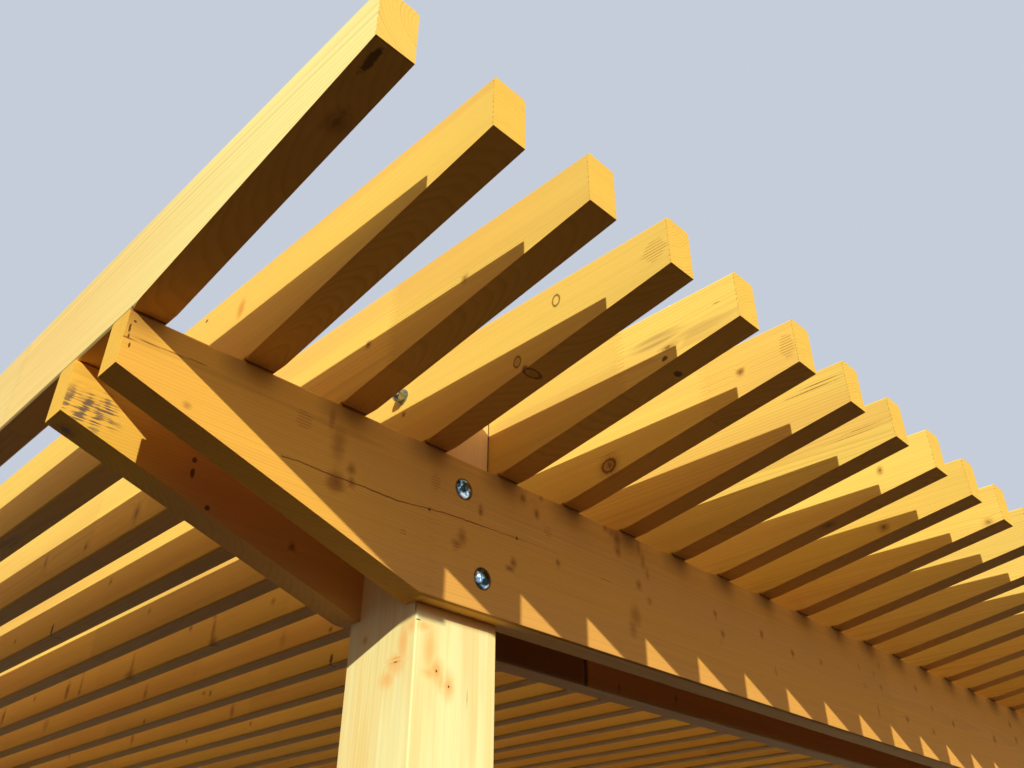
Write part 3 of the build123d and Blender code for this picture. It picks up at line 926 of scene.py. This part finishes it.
def show_finished(node, shape, finish):
    """Puts a shape in its node's place, smooth over its rounded arrises and flat on its faces."""
    mesh = bpy.data.meshes.new(node)
    shape.to_mesh(mesh)
    shape.free()
    mesh.materials.clear()
    mesh.materials.append(finish)
    mesh.shade_smooth()
    mesh.set_sharp_from_angle(angle=math.radians(SHARP_ANGLE))
    piece = new_object(node + "_finished", mesh)
    weighted = piece.modifiers.new("flat faces", "WEIGHTED_NORMAL")
    weighted.keep_sharp = True
    weighted.weight = 100
    settle(piece, weighted)
    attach(piece, "root")
    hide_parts(node)


def towards(direction):
    """The turn that lays a piece made along +Z along the given direction."""
    return Vector(direction).to_track_quat("Z", "Y").to_matrix().to_4x4()


def add_turned(shape, outline, sides, placed):
    """A closed turned body from an outline of (radius, height) with both ends on the axis."""
    rings = []
    for radius, height in outline:
        if radius == 0.0:
            rings.append([shape.verts.new(placed @ Vector((0.0, 0.0, height)))])
            continue
        angles = [2 * math.pi * step / sides for step in range(sides)]
        rings.append(
            [shape.verts.new(placed @ Vector((radius * math.cos(a), radius * math.sin(a), height))) for a in angles]
        )
    for lower, upper in zip(rings, rings[1:]):
        for step in range(sides):
            after = (step + 1) % sides
            corners = [lower[step % len(lower)], lower[after % len(lower)], upper[after % len(upper)]]
            corners.append(upper[step % len(upper)])
            shape.faces.new(list(dict.fromkeys(corners)))


def coach_bolts(name, places, finish):
    """Domed bolts with square necks; their ends are turned down to the thread's root."""
    sphere = (DOME_RADIUS**2 + DOME_HEIGHT**2) / (2 * DOME_HEIGHT)
    thread_start = GRIP + NUT_HEIGHT - 0.002
    outline = [(0.0, -BOLT_LENGTH), (THREAD_ROOT - 0.001, -BOLT_LENGTH), (THREAD_ROOT, -BOLT_LENGTH + 0.001)]
    outline += [(THREAD_ROOT, -thread_start), (SHANK_RADIUS, -thread_start), (SHANK_RADIUS, 0.0)]
    outline += [(DOME_RADIUS, 0.0), (DOME_RADIUS - 0.0002, 0.0004)]
    for radius in DOME_STEPS:
        outline.append((radius, math.sqrt(sphere**2 - radius**2) - sphere + DOME_HEIGHT))
    shape = bmesh.new()
    for seat, direction in places:
        placed = Matrix.Translation(seat) @ towards(direction)
        add_turned(shape, outline, TURNED_SIDES, placed)
        neck = Matrix.Translation((0.0, 0.0, -NECK_DEPTH / 2)) @ Matrix.Diagonal((NECK, NECK, NECK_DEPTH, 1.0))
        bmesh.ops.create_cube(shape, size=1.0, matrix=placed @ neck)
    bmesh.ops.recalc_face_normals(shape, faces=shape.faces)
    show_finished(name, shape, finish)


def thread_tree():
    """Geometry Nodes for the screw thread on each bolt end: one ridge wound around the root."""
    tree = bpy.data.node_groups.new("bolt_thread", "GeometryNodeTree")
    inputs = {}
    tree.interface.new_socket("Bolt Ends", in_out="INPUT", socket_type="NodeSocketGeometry")
    for label, kind in {
        "Ridge Radius": "NodeSocketFloat",
        "Ridge Height": "NodeSocketFloat",
        "Thread Pitch": "NodeSocketFloat",
        "Thread Length": "NodeSocketFloat",
        "Turn": "NodeSocketVector",
        "Finish": "NodeSocketMaterial",
    }.items():
        inputs[label] = tree.interface.new_socket(label, in_out="INPUT", socket_type=kind).identifier
    tree.interface.new_socket("Threads", in_out="OUTPUT", socket_type="NodeSocketGeometry")
    given = tree.nodes.new("NodeGroupInput")
    turns = tree.nodes.new("ShaderNodeMath")
    turns.operation = "DIVIDE"
    spiral = tree.nodes.new("GeometryNodeCurveSpiral")
    spiral.inputs["Resolution"].default_value = THREAD_ROUND
    ridge = tree.nodes.new("GeometryNodeCurvePrimitiveCircle")
    ridge.inputs["Resolution"].default_value = 4
    wound = tree.nodes.new("GeometryNodeCurveToMesh")
    wound.inputs["Fill Caps"].default_value = True
    set_out = tree.nodes.new("GeometryNodeInstanceOnPoints")
    real = tree.nodes.new("GeometryNodeRealizeInstances")
    painted = tree.nodes.new("GeometryNodeSetMaterial")
    made = tree.nodes.new("NodeGroupOutput")
    for source, target in (
        (given.outputs["Thread Length"], turns.inputs[0]),
        (given.outputs["Thread Pitch"], turns.inputs[1]),
        (turns.outputs[0], spiral.inputs["Rotations"]),
        (given.outputs["Ridge Radius"], spiral.inputs["Start Radius"]),
        (given.outputs["Ridge Radius"], spiral.inputs["End Radius"]),
        (given.outputs["Thread Length"], spiral.inputs["Height"]),
        (given.outputs["Ridge Height"], ridge.inputs["Radius"]),
        (spiral.outputs[0], wound.inputs["Curve"]),
        (ridge.outputs[0], wound.inputs["Profile Curve"]),
        (given.outputs["Bolt Ends"], set_out.inputs["Points"]),
        (wound.outputs[0], set_out.inputs["Instance"]),
        (given.outputs["Turn"], set_out.inputs["Rotation"]),
        (set_out.outputs[0], real.inputs[0]),
        (real.outputs[0], painted.inputs["Geometry"]),
        (given.outputs["Finish"], painted.inputs["Material"]),
        (painted.outputs[0], made.inputs[0]),
    ):
        tree.links.new(source, target)
    return tree, inputs


def wind_threads(name, ends, turn, finish):
    """The screw threads of the bolts whose nuts face the same way."""
    mesh = bpy.data.meshes.new(name)
    mesh.from_pydata(ends, [], [])
    piece = new_object(name, mesh)
    modifier = piece.modifiers.new("thread", "NODES")
    modifier.node_group = THREAD_TREE
    for label, value in {
        "Ridge Radius": THREAD_ROOT + 0.0001,
        "Ridge Height": RIDGE_HEIGHT,
        "Thread Pitch": THREAD_PITCH,
        "Thread Length": BOLT_LENGTH - GRIP - NUT_HEIGHT - 0.0010,
        "Turn": turn,
        "Finish": finish,
    }.items():
        modifier[THREAD_INPUTS[label]] = value
    settle(piece, modifier)
    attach(piece, "root")


def dress_timber():
    """Puts the finished boards in the places of the solids."""
    plain_rafter = rafter_timber("rafter_timber")
    front = beam_timber(
        "front_beam_timber", FRONT_BEAM_MIDDLE, FRONT_BEAM_GRAIN, FRONT_BEAM_TONES, FRONT_BEAM_JOINTS,
        FRONT_BEAM_FEATURES, front_beam_drawn,
    )
    back = beam_timber(
        "back_beam_timber", BACK_BEAM_MIDDLE, BACK_BEAM_GRAIN, BACK_BEAM_TONES, BACK_BEAM_JOINTS,
        BACK_BEAM_FEATURES, back_beam_drawn,
    )
    plate = beam_timber(
        "wall_plate_timber", WALL_PLATE_MIDDLE, WALL_PLATE_GRAIN, RAFTER_TONES, WALL_PLATE_JOINTS, {}
    )
    post = post_timber()
    for name, finish in (("front_beam", front), ("back_beam", back), ("wall_plate", plate)):
        round_arrises(name, finish, TIMBER_ROUNDING)
    for name in ("post_left", "post_right"):
        round_arrises(name, post, TIMBER_ROUNDING)
    for number in range(1, RAFTERS + 1):
        marked = number in RAFTER_MARKS
        finish = rafter_timber(f"rafter_timber_{number:02d}", number) if marked else plain_rafter
        round_arrises(f"rafter_{number:02d}", finish, TIMBER_ROUNDING)


def dress_steel():
    """Puts the finished bolts, threads, nuts and post shoes in the places of the solids."""
    zinc = bright_zinc()
    nuts = dull_zinc()
    shoes = galvanised_steel()
    beam_places = [
        ((way * place, FRONT_BEAM_FACE, level), (0.0, -1.0, 0.0)) for way in (-1, 1) for place, level in BEAM_BOLTS
    ]
    head_places = [
        ((way * HEAD_BOLT_SEAT, place, level), (-way, 0.0, 0.0)) for way in (-1, 1) for place, level in HEAD_BOLTS
    ]
    coach_bolts("beam_bolts", beam_places, zinc)
    coach_bolts("head_bolts", head_places, zinc)
    nut_face = GRIP + NUT_HEIGHT
    beam_ends = [(x, FRONT_BEAM_FACE + nut_face, z) for (x, y, z), direction in beam_places]
    wind_threads("beam_bolt_threads", beam_ends, (-math.pi / 2, 0.0, 0.0), nuts)
    for turned, label in ((-1, "left"), (1, "right")):
        ends = [(turned * (HEAD_BOLT_SEAT + nut_face), place, level) for place, level in HEAD_BOLTS]
        wind_threads(f"head_bolt_threads_{label}", ends, (0.0, turned * math.pi / 2, 0.0), nuts)
    for name in ("beam_nuts", "head_nuts"):
        round_arrises(name, nuts, NUT_ROUNDING)
    for name in ("post_shoe_left", "post_shoe_right"):
        round_arrises(name, shoes, SHOE_ROUNDING)


def stage_floor():
    """A plain floor that looks pale but throws little light on the undersides."""
    size = FLOOR_HALF_WIDTH
    mesh = bpy.data.meshes.new("floor")
    corners = [(-size, -size, GROUND), (size, -size, GROUND), (size, size, GROUND), (-size, size, GROUND)]
    mesh.from_pydata(corners, [], [(0, 1, 2, 3)])
    floor = new_object("floor", mesh)
    material, bench = new_finish("pale_floor")
    bench.finish(bench.mix(bench.seen(), FLOOR_LIGHT, FLOOR_SEEN), 0.9, specular=0.0)
    mesh.materials.append(material)


def pale_surround():
    """A plain pale background, with light of its own strength and colour."""
    world = bpy.data.worlds.new("pale_surround")
    bpy.context.scene.world = world
    bench = Bench(world)
    shown = bench.node("ShaderNodeBackground", None, {0: SURROUND_SEEN, 1: 1.0})
    light = bench.node("ShaderNodeBackground", None, {0: SURROUND_LIGHT, 1: SURROUND_STRENGTH})
    mixed = bench.node("ShaderNodeMixShader", None, {0: bench.seen(), 1: light, 2: shown})
    bench.node("ShaderNodeOutputWorld", None, {0: mixed})


def add_lamp(name, direction, energy, spread, colour):
    lamp = bpy.data.lights.new(name, "SUN")
    lamp.energy = energy
    lamp.angle = math.radians(spread)
    lamp.color = colour
    holder = new_object(name, lamp)
    holder.rotation_mode = "QUATERNION"
    holder.rotation_quaternion = Vector(direction).to_track_quat("-Z", "Y")


def photo_camera():
    """The camera that was fitted to the photo; yaw turns it to the right, pitch up."""
    yaw, pitch, roll = math.radians(CAMERA_YAW), math.radians(CAMERA_PITCH), math.radians(CAMERA_ROLL)
    ahead = Vector((math.sin(yaw) * math.cos(pitch), math.cos(yaw) * math.cos(pitch), math.sin(pitch)))
    level = Vector((math.cos(yaw), -math.sin(yaw), 0.0))
    upright = level.cross(ahead)
    right = math.cos(roll) * level + math.sin(roll) * upright
    up = -math.sin(roll) * level + math.cos(roll) * upright
    lens = bpy.data.cameras.new("photo_camera")
    lens.lens = CAMERA_LENS
    lens.sensor_width = CAMERA_SENSOR
    lens.clip_end = CAMERA_REACH
    camera = new_object("photo_camera", lens)
    turn = Matrix((right, up, -ahead)).transposed().to_4x4()
    camera.matrix_world = Matrix.Translation(CAMERA_PLACE) @ turn
    bpy.context.scene.camera = camera


THREAD_TREE, THREAD_INPUTS = thread_tree()
dress_timber()
dress_steel()
stage_floor()
pale_surround()
for lamp_name, (direction, energy, spread, colour) in LAMPS.items():
    add_lamp(lamp_name, direction, energy, spread, colour)
photo_camera()
bpy.context.scene.view_settings.view_transform = "Standard"
